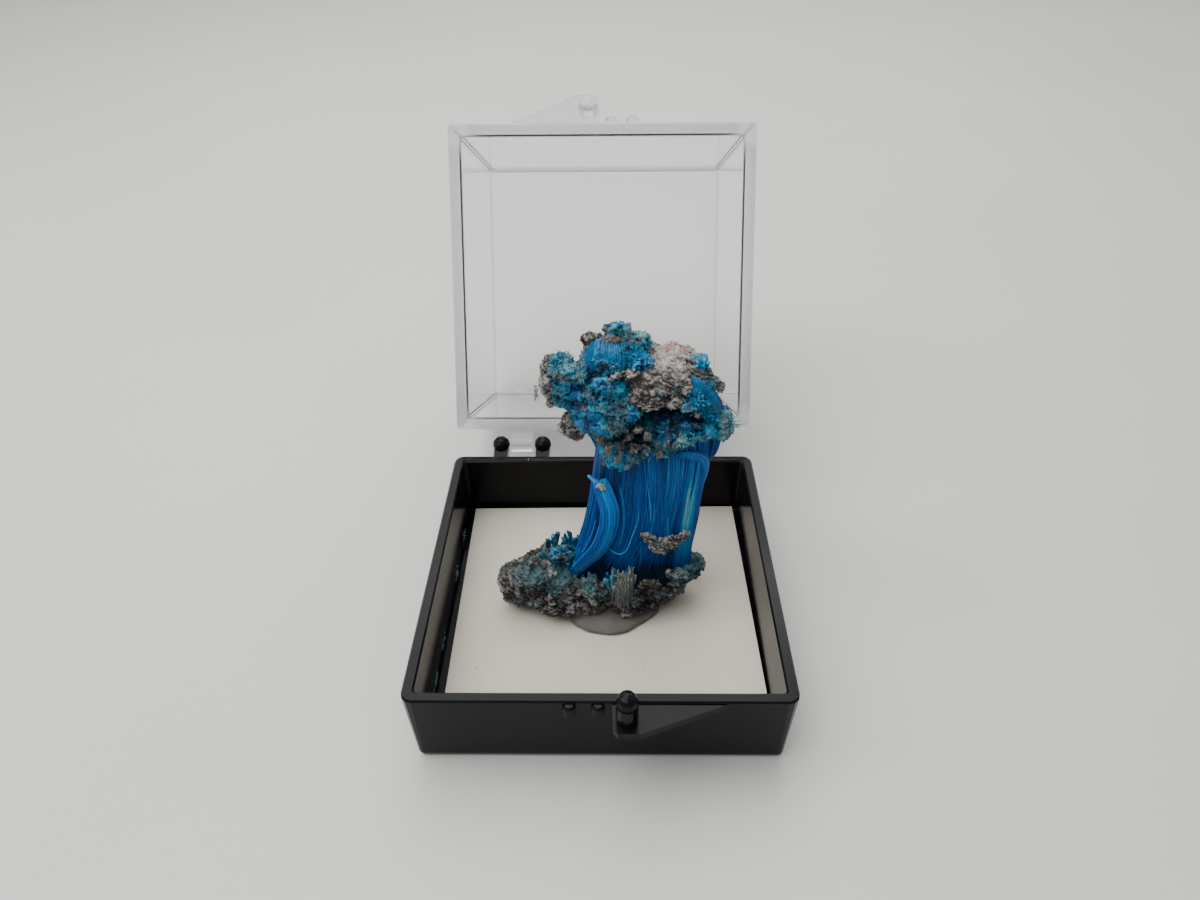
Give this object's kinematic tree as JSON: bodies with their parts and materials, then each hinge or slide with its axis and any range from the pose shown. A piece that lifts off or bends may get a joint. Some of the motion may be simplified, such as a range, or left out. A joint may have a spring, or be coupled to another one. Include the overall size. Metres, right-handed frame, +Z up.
{
  "type": "mineral specimen in a hinged display box",
  "caption": "Blue fibrous crystal specimen on rock, stuck with putty to a card in a black tray whose clear hinged lid stands open behind it.",
  "frame": {"origin": "middle of the tray's flat underside", "axes": "+Z up, +X to the right along the hinge, +Y from the latch towards the hinge"},
  "size_m": [0.054, 0.1212, 0.0699],
  "materials": {
    "black_styrene": "satin black moulded polystyrene",
    "clear_styrene": "clear moulded polystyrene",
    "white_card": "uncoated off-white card",
    "putty": "matte mineral putty",
    "grey_rock": "rough grey altered rock with a blue-green coating",
    "brown_rock": "rough grey-brown altered rock",
    "flake_rock": "rough grey rock chip",
    "chalcanthite_blue": "translucent vitreous blue fibres and crystals"
  },
  "bodies": {
    "base": {"base_tray": "black_styrene", "insert_card": "white_card", "mounting_putty": "putty", "lower_matrix": "grey_rock", "chalcanthite": "chalcanthite_blue", "rock_flake": "flake_rock", "upper_matrix": "brown_rock"},
    "lid": {"lid": "clear_styrene"}
  },
  "joints": [
    {"name": "lid_hinge", "type": "hinge", "parent": "base", "child": "lid", "pos_m": [0, 0.0298, 0.0143], "axis": [1, 0, 0], "range_deg": [0, 117.28]}
  ]
}
